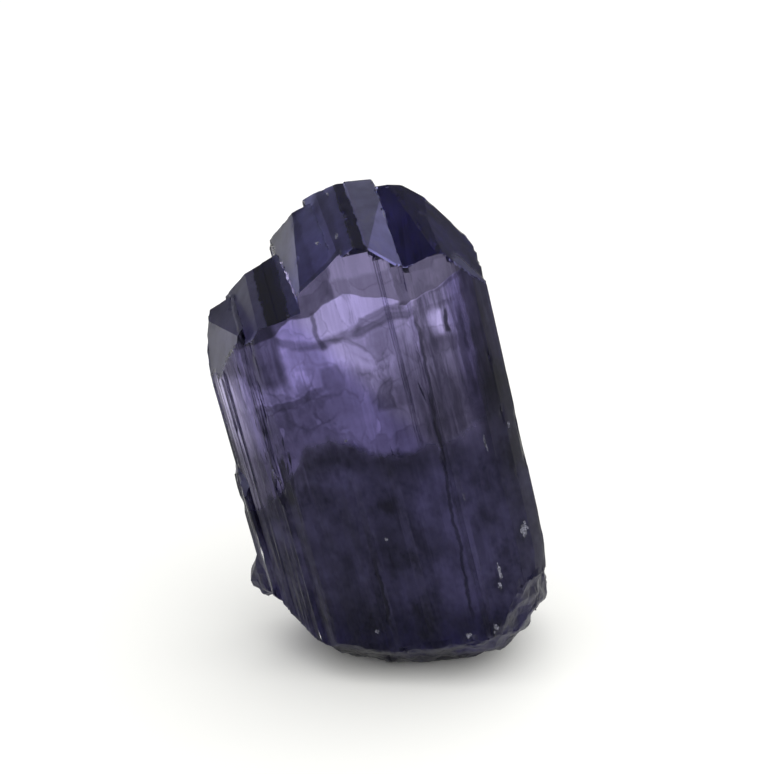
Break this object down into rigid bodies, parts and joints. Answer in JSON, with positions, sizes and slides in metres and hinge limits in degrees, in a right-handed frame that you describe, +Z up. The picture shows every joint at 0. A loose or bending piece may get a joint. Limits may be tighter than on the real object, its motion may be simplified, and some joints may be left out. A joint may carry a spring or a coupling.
{
  "type": "rough tanzanite crystal",
  "caption": "Rough gem crystal: a leaning striated prism of blue-violet zoisite with a ridged stepped head and a broken foot that stands on a small flat spot.",
  "frame": {"origin": "middle of the flat spot on the foot, where the stone rests", "axes": "+Z up, the broad striated side with the window faces -Y, +X to the right; the long axis leans 13 degrees towards -X"},
  "size_m": [0.0124, 0.0069, 0.018],
  "materials": {
    "tanzanite": "see-through blue-violet crystal, glossy growth faces, striated sides, dark cloudy lower half"
  },
  "bodies": {
    "root": {"tanzanite_crystal": "tanzanite"}
  },
  "joints": []
}
